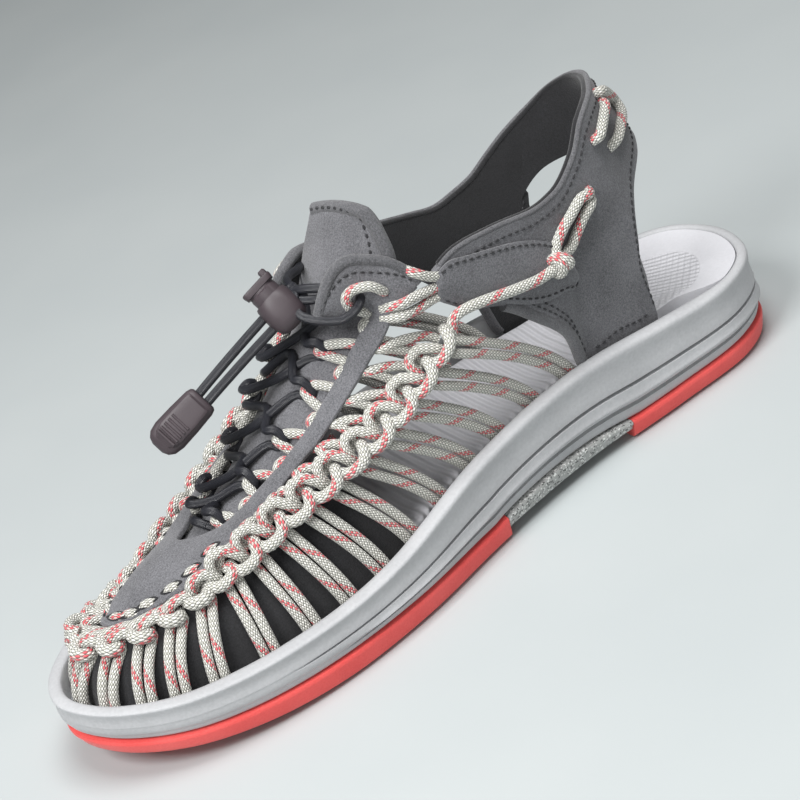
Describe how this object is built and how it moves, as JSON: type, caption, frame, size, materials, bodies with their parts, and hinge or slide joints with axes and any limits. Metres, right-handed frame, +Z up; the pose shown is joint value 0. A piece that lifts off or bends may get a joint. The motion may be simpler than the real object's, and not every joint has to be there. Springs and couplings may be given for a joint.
{
  "type": "braided sandal",
  "caption": "Right sandal with a cage of braided cord over a moulded foam sole, microfibre vamp, tongue and heel strap, and an elastic lace with a sprung cord lock.",
  "frame": {"origin": "on the floor under the middle of the heel seat", "axes": "+X to the toe, +Y to the medial side, +Z up"},
  "size_m": [0.2865, 0.0987, 0.1191],
  "materials": {
    "coral_rubber": "fine grain, matt",
    "arch_foam": "speckled, matt",
    "light_foam": "moulded foam, satin",
    "footbed_foam": "moulded foam, fine ripple",
    "cord": "braided, with coral flecks",
    "microfibre": "soft nap",
    "elastic": "woven elastic cord",
    "lock_plastic": "satin"
  },
  "bodies": {
    "shoe": {"outsole_forefoot": "coral_rubber", "outsole_heel": "coral_rubber", "outsole_arch": "arch_foam", "midsole": "light_foam", "footbed": "footbed_foam", "upper": "cord", "tongue": "microfibre", "heel_strap": "microfibre", "heel_cord_medial": "cord", "heel_cord_lateral": "cord", "back_cord_medial_1": "cord", "back_cord_medial_2": "cord", "back_cord_lateral_1": "cord", "back_cord_lateral_2": "cord", "tab_cord_medial_1": "cord", "tab_cord_medial_2": "cord", "tab_cord_lateral_1": "cord", "tab_cord_lateral_2": "cord", "lace": "elastic", "lock_barrel": "lock_plastic", "lace_tail_a": "elastic", "lace_tail_b": "elastic", "cord_end": "lock_plastic"},
    "button": {"lock_button": "lock_plastic"}
  },
  "joints": [
    {"name": "lock_press", "type": "slide", "parent": "shoe", "child": "button", "axis": [-0.2184, 0.5869, -0.7797], "range_m": [0, 0.0035], "stiffness_N_per_m": 1500, "springref_m": -0.002}
  ]
}
